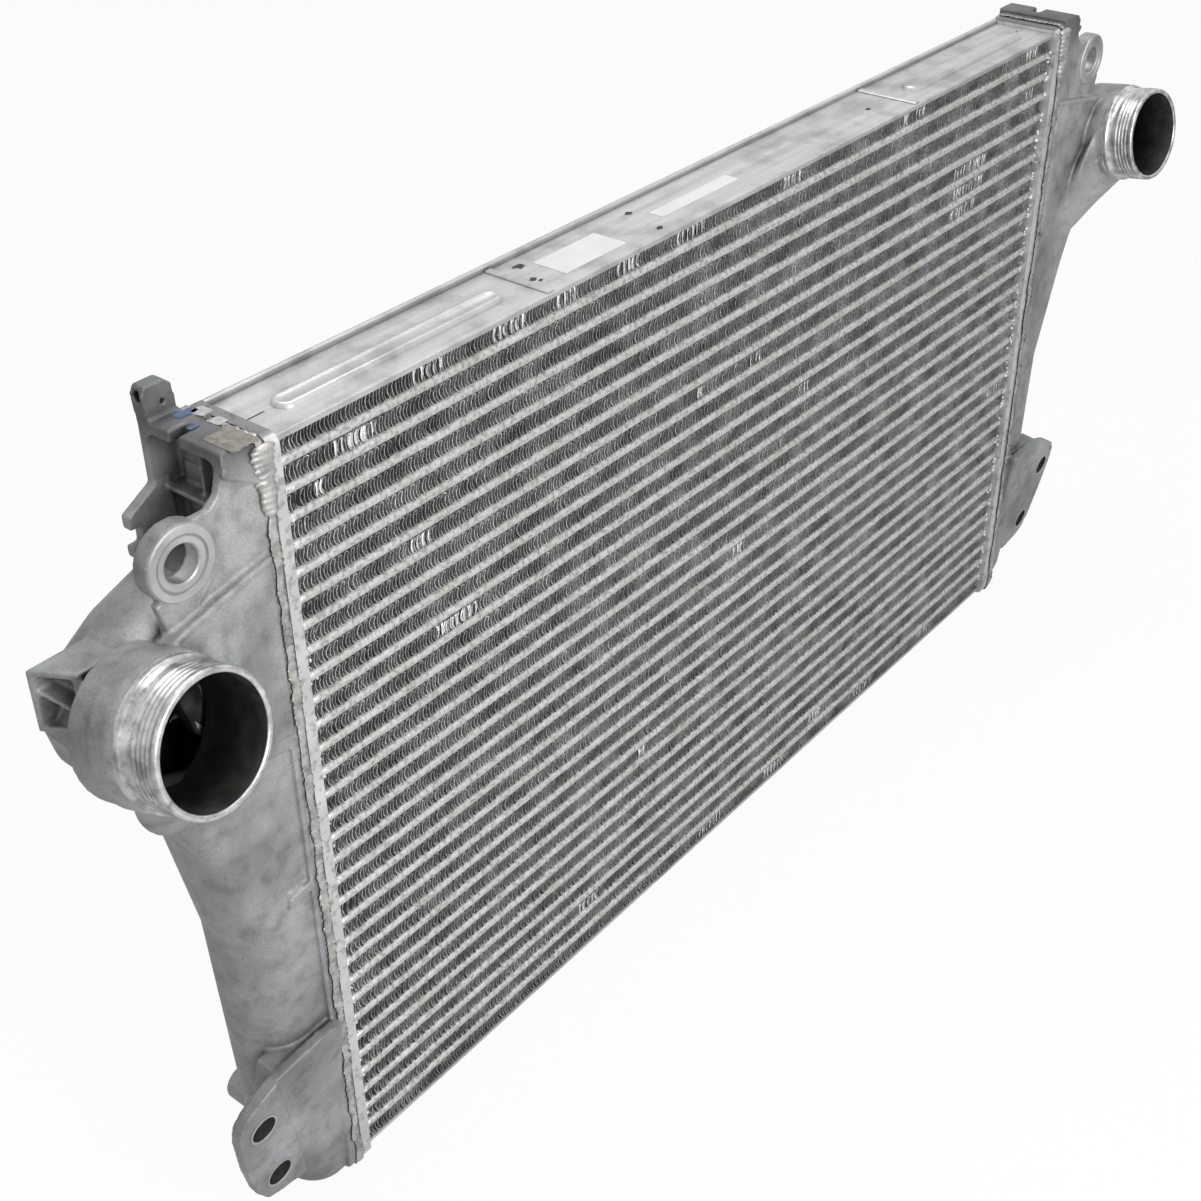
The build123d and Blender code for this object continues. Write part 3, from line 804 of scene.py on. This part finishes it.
# %% [markdown]
# ### Raised shapes of the front
# The neck runs into the scroll in a broad corner, so wedges between the neck's ring and the boss
# fill it. A low panel lies under a raised edge that comes down from the header to the neck. The
# lug stands on a tail, and small pads and tabs are left from the mould.

# %% Neck
SPIGOT_CUT = 31 * MM
SPIGOT_RADIUS = 45 * MM
BORE_RADIUS = 40.5 * MM
SLEEVE = 52 * MM
NECK_FRONT, NECK_BACK = 34 * MM, 50 * MM   # behind the mouth
NECK_POINTS = 36
WEDGE_POINTS = 3


def neck_wedges(bm, side, word):
    """Fills the corner between the neck and the boss with wedges that stay out of the bore."""
    mouth, axis = spigot(word)
    ring = circle_points(mouth - axis * NECK_FRONT, axis, SPIGOT_RADIUS + 2.2 * MM, NECK_POINTS)
    root = circle_points(mouth - axis * NECK_BACK, axis, SPIGOT_RADIUS + 4 * MM, NECK_POINTS)
    boss = [at(side, 149, 13.5, up) for up in (503, 540)] + [at(side, 154, 5, 478)]
    low = [at(side, 150, 2, 470), at(side, 128, 0, 436)]
    for first in range(0, NECK_POINTS, WEDGE_POINTS):
        picks = [(first + step) % NECK_POINTS for step in range(WEDGE_POINTS + 1)]
        group = [ring[pick] for pick in picks] + [root[pick] for pick in picks]
        centre = sum(group, Vector()) / len(group)
        outwards = (centre.x - mouth.x) * side
        if outwards > 22 * MM:
            hull(bm, [*group, *boss])
        elif outwards > -10 * MM and centre.z < mouth.z - 20 * MM:
            hull(bm, [*group, *low])


# %% Front of the casting
LUG_OUT, LUG_UP = 82.5, 592.5
FORWARD = Vector((0, -1, 0))


def shoulder_edge(bm, side):
    """The raised edge from the header to the neck, as a chain of short bars."""
    ends = []
    for out, up, back in (
        (20, 567, -9.5), (60, 560, -11.5), (100, 552, -14.0), (112, 546, -14.5), (115, 534, -14.5)
    ):
        crest = [at(side, out, back, up), at(side, out, back, up - 4)]
        ends.append(crest + [at(side, out, -3, up + 1), at(side, out, -3, up - 6)])
    for near, far in zip(ends, ends[1:]):
        hull(bm, near + far)


def front_panel(bm, side):
    """The low panel under the edge, a little higher towards the neck."""
    outline = ((20, 565), (100, 549), (113, 540), (113, 536), (20, 430), (56, 436), (96, 480))
    hull(bm, [at(side, out, back, up) for out, up in outline for back in (-6.5 - out * 0.06, -1)])


def lug_tail(bm, side):
    """The tail that the lug's eye stands on."""
    eye = circle_points(at(side, LUG_OUT, -6.4, LUG_UP), FORWARD, 29 * MM)
    below = [point for point in eye if point.z < core_bottom + 576 * MM]
    tail = [at(side, 95, -6.4, 540), at(side, 95, -1, 536)]
    hull(bm, [*below, *[point + Vector((0, 6, 0)) * MM for point in below], *tail])


def small_pads(bm, side):
    """Two pads in the pocket, the strip beside the weld and the slanting tab."""
    block(bm, side, ((22, 34), (22, 58), (25, 36), (25, 56)), (578, 612))
    block(bm, side, ((22, 14), (22, 26), (30, 14), (30, 26)), (574, 583))
    block(bm, side, ((20.5, -6.6), (23.5, -6.6), (20.5, -3), (24, -3)), (160, 420))
    tab = ((22, -7.5, 296), (22, -7.5, 305), (44, -6.2, 291), (43, -6.2, 297))
    hull(bm, [at(side, out, back + depth, up) for out, back, up in tab for depth in (0, 9)])


def add_cast_shapes(bm, side, word):
    """Lays every raised shape into a tank."""
    neck_wedges(bm, side, word)
    shoulder_edge(bm, side)
    front_panel(bm, side)
    lug_tail(bm, side)
    small_pads(bm, side)


# %% [markdown]
# ### Where the painted shade lies
# Inside the tank the metal gets near-black painted shade. A face belongs to the inside if looks
# in twelve directions all end on a wall of the tank or its header. Near the mouth some looks leave
# through it, so there fewer have to.

# %% Inside of a casting


def from_axis(point, start, axis):
    """How far a point lies along an axis, and the arm from the axis to it."""
    arm = Vector(point) - start
    along = arm.dot(axis)
    return along, arm - along * axis


def without_spigot(bm, word):
    """Cuts the hose end off behind its ridge and closes the cut between bore and neck."""
    mouth, axis = spigot(word)
    bmesh.ops.bisect_plane(
        bm, geom=bm.verts[:] + bm.edges[:] + bm.faces[:], plane_co=mouth - axis * SPIGOT_CUT,
        plane_no=axis, clear_outer=True,
    )
    rims = [edge for edge in bm.edges if edge.is_boundary]
    bmesh.ops.bridge_loops(bm, edges=rims)


LOOKS = [
    Vector((math.cos(turn), math.sin(turn), slope)).normalized()
    for turn in (0.4, 1.5, 2.5, 3.6, 4.6, 5.7) for slope in (0.5, 1.6)
]
POCKET_FLOOR_UP = 562 * MM
NEAR_DEPTH, NEAR_REACH = 130 * MM, 75 * MM   # behind the mouth and off its axis
NEAR_HITS = 9


def inner_faces(skin, lid, word):
    """Faces that look at a wall every way: those of the air space, which the header closes."""
    corners, sides = [], []
    for mesh in (skin, lid):
        first = len(corners)
        corners += [vertex.co for vertex in mesh.vertices]
        sides += [[first + index for index in face.vertices] for face in mesh.polygons]
    walls = BVHTree.FromPolygons(corners, sides)
    mouth, axis = spigot(word)
    for face in skin.polygons:
        along, off = from_axis(face.center, mouth, axis)
        near = -NEAR_DEPTH < along < 0 and off.length < NEAR_REACH and off.dot(face.normal) < 0
        behind_spigot = along > -SPIGOT_CUT - 1 * MM and off.length < SPIGOT_RADIUS + 1.5 * MM
        if behind_spigot or (-70 * MM < along < 0 and off.length < BORE_RADIUS + 3 * MM):
            yield face
        elif near or face.center.z < core_bottom + POCKET_FLOOR_UP:
            turn = face.normal.to_track_quat("Z", "Y")
            start = face.center + face.normal * 0.3 * MM
            hits = sum(walls.ray_cast(start, turn @ look)[0] is not None for look in LOOKS)
            if hits >= (NEAR_HITS if near else len(LOOKS)):
                yield face


def clear_sleeve(skin, mouth, axis):
    """Moves the casting's bore wall back, so that only the spigot's sleeve shows there."""
    for vertex in skin.vertices:
        along, off = from_axis(vertex.co, mouth, axis)
        lack = BORE_RADIUS + 0.7 * MM - off.length
        if along > 1 * MM - SLEEVE and lack > 0:
            vertex.co += off.normalized() * lack


# %% Castings
CAST_VOXEL = 1.25 * MM
CAST_FACES_KEPT = 0.17
SOLID_MERGE = 0.02 * MM


def merged_solid(node):
    """A copy of a solid as a bmesh, with its loose triangles joined."""
    bm = bmesh.new()
    bm.from_mesh(nodes[node].data)
    bmesh.ops.remove_doubles(bm, verts=bm.verts[:], dist=SOLID_MERGE)
    return bm


def casting(word, side):
    """One tank without its hose end, softened, with near-black painted shade inside."""
    bm = merged_solid(f"{word}_tank")
    without_spigot(bm, word)
    add_cast_shapes(bm, side, word)
    bmesh.ops.recalc_face_normals(bm, faces=bm.faces[:])
    raw = mesh_of(bm, f"{word}_raw")
    skin = applied(
        raw,
        ("REMESH", dict(mode="VOXEL", voxel_size=CAST_VOXEL)),
        ("SMOOTH", dict(factor=0.5, iterations=2)),
        ("DECIMATE", dict(ratio=CAST_FACES_KEPT)),
    )
    clear_sleeve(skin, *spigot(word))
    finished(skin, cast, shade_and_dirt_black)
    # Faces of the inside take the near-black painted shade.
    for face in inner_faces(skin, nodes[f"{word}_header"].data, word):
        face.material_index = 1
    skin.shade_smooth()
    print(word, "casting faces:", len(skin.polygons))
    return add_piece(f"{word}_casting", skin, "cast_aluminium", f"{word}_tank")


for word, side in SIDES.items():
    casting(word, side)

# %% [markdown]
# ## Turned spigots
# The hose end is turned on a lathe after casting. A lathe part is a profile spun round its
# axis: a broad lip, four round grooves that grip the hose, a plain band for the clamp and a
# ridge that stops the hose.

# %% Spinning a profile
SPIN_MERGE = 0.005 * MM


def spun(profile, start, axis, steps):
    """Spins a closed profile; each point is a radius and a depth behind the start."""
    bm = bmesh.new()
    chain = [bm.verts.new((radius, 0, -depth)) for radius, depth in profile]
    edges = [bm.edges.new(pair) for pair in zip(chain, [*chain[1:], chain[0]])]
    bmesh.ops.spin(
        bm, geom=chain + edges, cent=(0, 0, 0), axis=(0, 0, 1), angle=math.tau, steps=steps,
        use_merge=True,
    )
    bmesh.ops.remove_doubles(bm, verts=bm.verts[:], dist=SPIN_MERGE)
    bmesh.ops.recalc_face_normals(bm, faces=bm.faces[:])
    turn = axis.to_track_quat("Z", "Y").to_matrix().to_4x4()
    turn.translation = start
    bmesh.ops.transform(bm, matrix=turn, verts=bm.verts[:])
    return bm


# %% Spigots
GROOVES = 4
GROOVE_PITCH = 3.6 * MM
GROOVE_DEPTH = 1.3 * MM
GROOVE_SHAPE = ((0.22, 0.75), (0.4, 1.0), (0.6, 1.0), (0.78, 0.75), (1.0, 0.0))   # parts of both
LIP = 4 * MM


def spigot_profile():
    """Radius and distance behind the mouth, from the bore's depth round to the neck."""
    profile = [(BORE_RADIUS + 1 * MM, SLEEVE), (BORE_RADIUS, SLEEVE)]
    profile += [(BORE_RADIUS, 1 * MM), (BORE_RADIUS + 0.6 * MM, 0.2 * MM)]
    profile += [(SPIGOT_RADIUS - 1.6 * MM, 0), (SPIGOT_RADIUS - 0.3 * MM, 0.6 * MM)]
    profile += [(SPIGOT_RADIUS, 1.4 * MM), (SPIGOT_RADIUS, LIP)]
    for groove in range(GROOVES):
        start = LIP + groove * GROOVE_PITCH
        for share, depth in GROOVE_SHAPE:
            profile.append((SPIGOT_RADIUS - depth * GROOVE_DEPTH, start + share * GROOVE_PITCH))
    end = LIP + GROOVES * GROOVE_PITCH
    profile += [(SPIGOT_RADIUS - 0.4 * MM, end + 0.8 * MM), (SPIGOT_RADIUS - 0.4 * MM, end + 8 * MM)]
    crest = SPIGOT_RADIUS + 2 * MM
    profile += [(crest - 0.4 * MM, end + 9 * MM), (crest, end + 9.8 * MM), (crest, SPIGOT_CUT + 1 * MM)]
    return profile


def turned_spigot(word):
    """The hose end of a tank, bright outside, with near-black painted shade in its bore."""
    mouth, axis = spigot(word)
    bm = spun(spigot_profile(), mouth, axis, steps=96)
    mesh = mesh_of(bm, f"{word}_spigot", machined, shade_and_dirt_black)
    # The bore's faces take the near-black painted shade.
    for face in mesh.polygons:
        along, off = from_axis(face.center, mouth, axis)
        if off.length < BORE_RADIUS + 0.1 * MM and along < -2 * MM:
            face.material_index = 1
    mesh.shade_smooth()
    print(word, "spigot faces:", len(mesh.polygons))
    return add_piece(f"{word}_spigot", mesh, "cast_aluminium", f"{word}_tank")


for word in SIDES:
    turned_spigot(word)

# %% [markdown]
# ## Lug pads
# The lug's eye is machined flat on its front, so it shines and has crisp edges. It is spun as
# well: the bore, an inner land, a fine groove and the wide outer land.

# %% Lug pads
LUG_FACE = -7.2           # back from the core's front, in millimetres
LUG_BORE, LUG_PAD = 12.4, 24.4
LUG_PROFILE = [           # radius and depth, in millimetres
    (LUG_BORE, 11), (LUG_BORE, 1.0), (LUG_BORE + 1, 0.2), (17, 0.2), (17.5, 0.9), (18.3, 0.9),
    (18.9, -0.4), (LUG_PAD - 1, -0.4), (LUG_PAD, 0.5), (LUG_PAD, 6),
]


def lug_pad(word, side):
    """The machined front of a lug."""
    profile = [(radius * MM, depth * MM) for radius, depth in LUG_PROFILE]
    bm = spun(profile, at(side, LUG_OUT, LUG_FACE, LUG_UP), FORWARD, steps=72)
    mesh = mesh_of(bm, f"{word}_lug_pad", worn)
    print(word, "lug pad faces:", len(mesh.polygons))
    return add_piece(f"{word}_lug_pad", mesh, "cast_aluminium", f"{word}_tank")


for word, side in SIDES.items():
    lug_pad(word, side)

# %% [markdown]
# ## Foot sleeves
# The two holes of each foot bracket are drilled, so their edges are bright, and their depths get
# near-black painted shade. A thin sleeve with a rolled edge is spun round each hole's axis from the
# mounts.

# %% Foot sleeves
FOOT_HOLES = ("foot_upper", "foot_lower")
SLEEVE_WALL = 0.4 * MM


def foot_sleeve(word, hole):
    """A thin lining for one hole, with near-black painted shade inside and a bright rolled edge."""
    mount = mounts[f"{word}_{hole}"]
    axis, radius = Vector(mount["axis"]).normalized(), mount["dims"]["r_mm"] * MM
    depth = mount["dims"]["length_mm"] * MM
    front = Vector(mount["pos_m"]) + axis * depth / 2
    lining = radius - SLEEVE_WALL
    profile = [(lining, depth), (lining, -0.2 * MM), (radius + 0.3 * MM, -0.7 * MM)]
    profile += [(radius + 1.5 * MM, -0.4 * MM), (radius + 1.6 * MM, 1.0 * MM), (radius, depth)]
    mesh = mesh_of(spun(profile, front, axis, steps=36), f"{word}_{hole}", worn, shade_and_dirt_black)
    # The hole's inner faces take the near-black painted shade.
    for face in mesh.polygons:
        if from_axis(face.center, front, axis)[1].length < radius - SLEEVE_WALL / 2:
            face.material_index = 1
    print(word, hole, "sleeve faces:", len(mesh.polygons))
    return add_piece(f"{word}_{hole}_sleeve", mesh, "cast_aluminium", f"{word}_tank")


for word in SIDES:
    for hole in FOOT_HOLES:
        foot_sleeve(word, hole)

# %% [markdown]
# ## Weld beads
# A hand weld is a row of small overlapping scales. The solid's plain band is divided finely
# and pushed in and out by a wave along the seam, whose phase wanders, so no scale repeats.
# At each top corner the welder stopped for longer and left a lump.

# %% Welds
WELD_VOXEL = 1.5 * MM
RIPPLE_PITCH = 6 * MM
SCALE_RISE, LUMP_RISE = 1.3, 0.9   # in millimetres
SEAM_WANDER = 3.0                  # in millimetres
SEAM_OUT, SEAM_REACH = 14 * MM, 5 * MM


def weld_bead(word, side):
    """The bead round one header, in the place of its plain band."""
    rough = mesh_of(merged_solid(f"{word}_weld"), f"{word}_band")
    band = applied(rough, ("REMESH", dict(mode="VOXEL", voxel_size=WELD_VOXEL)))
    middle_x = side * (tray_face + SEAM_OUT)
    for vertex in band.vertices:
        spot = vertex.co
        wander = noise.noise(spot * 30) * 2.5
        bow = ((spot.x - middle_x) / SEAM_REACH) ** 2
        along = (spot.z + spot.y) / RIPPLE_PITCH + wander - 0.35 * bow
        scale = 0.5 + 0.5 * math.sin(math.tau * along)
        lump = noise.noise(spot * 90)
        push = (SCALE_RISE * scale + LUMP_RISE * lump - SCALE_RISE) * MM
        vertex.co += vertex.normal * push
        sway = noise.noise(spot * 60 + Vector((3, 1, 4))) * SEAM_WANDER
        vertex.co.x += (sway + 0.3 * bow) * MM
        vertex.co.y = min(vertex.co.y, solid_box[1][1])
    finished(band, weld_metal)
    band.shade_smooth()
    print(word, "weld faces:", len(band.polygons))
    return add_piece(f"{word}_weld_bead", band, "weld_aluminium", f"{word}_weld")


LUMP_SCALES = 11
LUMP_VOXEL = 0.9 * MM


def corner_lump(word, side):
    """A heap of scales at the top front corner, each a flattened ball lying on the last."""
    bm = bmesh.new()
    for scale in range(LUMP_SCALES):
        width = (10.0 - 0.42 * scale) * MM
        flat = Matrix.Diagonal((width, 3.6 * MM, 3.1 * MM, 1))
        centre = at(side, 14.5 + random.uniform(-1, 1), -5.6, 636 - 4.2 * scale)
        place = Matrix.Translation(centre) @ flat
        bmesh.ops.create_icosphere(bm, subdivisions=3, radius=1, matrix=place)
    raw = mesh_of(bm, f"{word}_scales")
    lump = applied(raw, ("REMESH", dict(mode="VOXEL", voxel_size=LUMP_VOXEL)))
    for vertex in lump.vertices:
        vertex.co += vertex.normal * noise.noise(vertex.co * 160) * 0.7 * MM
    finished(lump, weld_metal)
    lump.shade_smooth()
    return add_piece(f"{word}_weld_lump", lump, "weld_aluminium", f"{word}_weld")


for word, side in SIDES.items():
    weld_bead(word, side)
    corner_lump(word, side)

# %% [markdown]
# ## Braze crumbs
# Where a tube enters its header, spare braze metal froze in small bright crumbs. Each crumb is
# a coarse ball, squashed and turned at random, because there are hundreds of them.

# %% Crumbs
CRUMBS_PER_TUBE = 5


def crumbs(word, side):
    """All crumbs beside one header, as one piece."""
    bm = bmesh.new()
    for row in range(len(tube_names)):
        for _ in range(CRUMBS_PER_TUBE):
            place = at(
                side, -abs(random.gauss(0, 3.0)), random.uniform(-0.2, 1.2),
                16 + row * 20 + random.gauss(0, 4.0),
            )
            size = Matrix.Diagonal([random.uniform(0.7, 2.0) * MM for _ in range(3)] + [1])
            turn = Matrix.Rotation(random.uniform(0, math.tau), 4, "Y")
            bmesh.ops.create_icosphere(
                bm, subdivisions=1, radius=1, matrix=Matrix.Translation(place) @ turn @ size
            )
    mesh = mesh_of(bm, f"{word}_crumbs", braze_crumb)
    print(word, "crumb faces:", len(mesh.polygons))
    return add_piece(f"{word}_braze_crumbs", mesh, "header_aluminium")


for word, side in SIDES.items():
    crumbs(word, side)

# %% [markdown]
# ## Pressed beads and marks of the top plate
# Two long beads are pressed into the top plate to stiffen it. A circle whose halves are moved
# apart is a slot, and insets that rise and sink give it the rolled rim of a pressing. Dark dirt
# marks are laid on the plate as thin discs, and the two slits as black bars of painted shade.

# %% Beads
plate_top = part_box("inner_label")[0][2]
BEADS_ACROSS = (127.0, 872.0)
BEAD_BACK = 27
BEAD_LENGTH, BEAD_WIDTH = 204 * MM, 19 * MM
SLOT_SIDES = 32
BEAD_STEPS = ((1.2, 2.2), (1.2, 0.9), (1.4, 0.0), (1.4, -0.9))   # inwards and up, in millimetres


def plate_point(across, back, lift):
    """A point above the top plate, counted from the core's left end, in millimetres."""
    return Vector((-tray_face + across * MM, core_front + back * MM, plate_top + lift * MM))


def slot_face(bm, centre, length, width):
    """A flat slot lying on the plate."""
    ring = bmesh.ops.create_circle(
        bm, cap_ends=True, segments=SLOT_SIDES, radius=width / 2
    )["verts"]
    half_step = math.pi / SLOT_SIDES
    bmesh.ops.rotate(bm, verts=ring, cent=(0, 0, 0), matrix=Matrix.Rotation(half_step, 3, "Z"))
    for vertex in ring:
        vertex.co.x += math.copysign((length - width) / 2, vertex.co.x)
    bmesh.ops.translate(bm, verts=ring, vec=centre)
    return list({face for vertex in ring for face in vertex.link_faces})


def pressed_beads():
    """Both beads as one piece."""
    bm = bmesh.new()
    for across in BEADS_ACROSS:
        faces = slot_face(bm, plate_point(across, BEAD_BACK, 0.05), BEAD_LENGTH, BEAD_WIDTH)
        for inwards, up in BEAD_STEPS:
            bmesh.ops.inset_region(
                bm, faces=faces, thickness=inwards * MM, depth=up * MM, use_boundary=True
            )
    mesh = mesh_of(bm, "pressed_beads", plate_sheet)
    mesh.shade_smooth()
    print("bead faces:", len(mesh.polygons))
    return add_piece("pressed_beads", mesh, "plate_aluminium")


pressed_beads()

# %% Marks
DARK_MARKS = [   # across, back and radius
    (274, 47, 4.5), (263, 25, 3.0), (397, 46, 3.2), (389, 11, 3.0), (706, 27, 2.6), (265, 20, 2.0),
]
SLIT_SHADES = [((2, 18), 28), ((967, 987), 32)]   # start and end across, and back
MARK_LIFT = 0.1


def plate_marks():
    """Ragged dirt discs and two black slits of painted shade, as one piece."""
    bm = bmesh.new()
    for across, back, size in DARK_MARKS:
        ring = bmesh.ops.create_circle(bm, cap_ends=True, segments=14, radius=size * MM)["verts"]
        for vertex in ring:
            vertex.co *= random.uniform(0.55, 1.1)
            vertex.co.x *= 1.3
        bmesh.ops.translate(bm, verts=ring, vec=plate_point(across, back, MARK_LIFT))
    # Each slit is a flat black bar: painted shade where the plate has a narrow recess.
    for (start, end), back in SLIT_SHADES:
        bar = bmesh.ops.create_grid(bm, size=0.5)["verts"]
        bmesh.ops.scale(bm, verts=bar, vec=((end - start) * MM, 1.1 * MM, 1))
        place = plate_point((start + end) / 2, back, MARK_LIFT)
        bmesh.ops.translate(bm, verts=bar, vec=place)
    mesh = mesh_of(bm, "plate_marks", shade_and_dirt_black)
    print("plate marks:", len(mesh.polygons))
    return add_piece("plate_marks", mesh, "plate_aluminium")


plate_marks()

# %% [markdown]
# ## Paint on the inlet tank's roof
# An inspector's two blue brush marks, two patches of pale primer and one of beige lie on the
# dark roof. Each is a flat patch with a ragged outline, just above the casting.

# %% Paint
PAINT_UP = 645.25         # the roof and a little more
PAINT = [   # out and back, half the size each way, and colour
    (22, 50, 8, 4, "blue"), (31, 33, 4, 2.5, "blue"), (15, 44, 5, 6, "pale"),
    (17, 27, 4.5, 5, "pale"), (27, 4, 11, 15, "beige"),
]


def paint_finish(name, color):
    """Brushed paint, thin in places."""
    finish = Finish(name, 0.0, 0.6)
    darker = tuple(0.6 * part for part in color)
    finish.tint(finish.ramp(finish.cloud(5 * MM, 6), (0.35, darker), (0.6, color)))
    finish.bump(finish.cloud(1.5 * MM, 3), 0.1 * MM)
    return finish.material


paints = {
    "blue": paint_finish("blue_paint", (0.10, 0.16, 0.30)),
    "pale": paint_finish("pale_primer", (0.55, 0.56, 0.56)),
    "beige": paint_finish("beige_primer", (0.28, 0.27, 0.23)),
}


def roof_paint():
    """One ragged patch for each touch of the brush."""
    for number, (out, back, half_x, half_y, kind) in enumerate(PAINT):
        bm = bmesh.new()
        ring = bmesh.ops.create_circle(bm, cap_ends=True, segments=22, radius=1)["verts"]
        for vertex in ring:
            square = max(abs(vertex.co.x), abs(vertex.co.y))
            vertex.co = vertex.co / square * random.uniform(0.85, 1.0)
            vertex.co.x *= half_x * MM
            vertex.co.y *= half_y * MM
        bmesh.ops.translate(bm, verts=ring, vec=at(SIDES["inlet"], out, back, PAINT_UP))
        mesh = mesh_of(bm, f"paint_{number}", paints[kind])
        add_piece(f"roof_paint_{number + 1}", mesh, "cast_aluminium")
    print("patches of paint:", len(PAINT))


roof_paint()
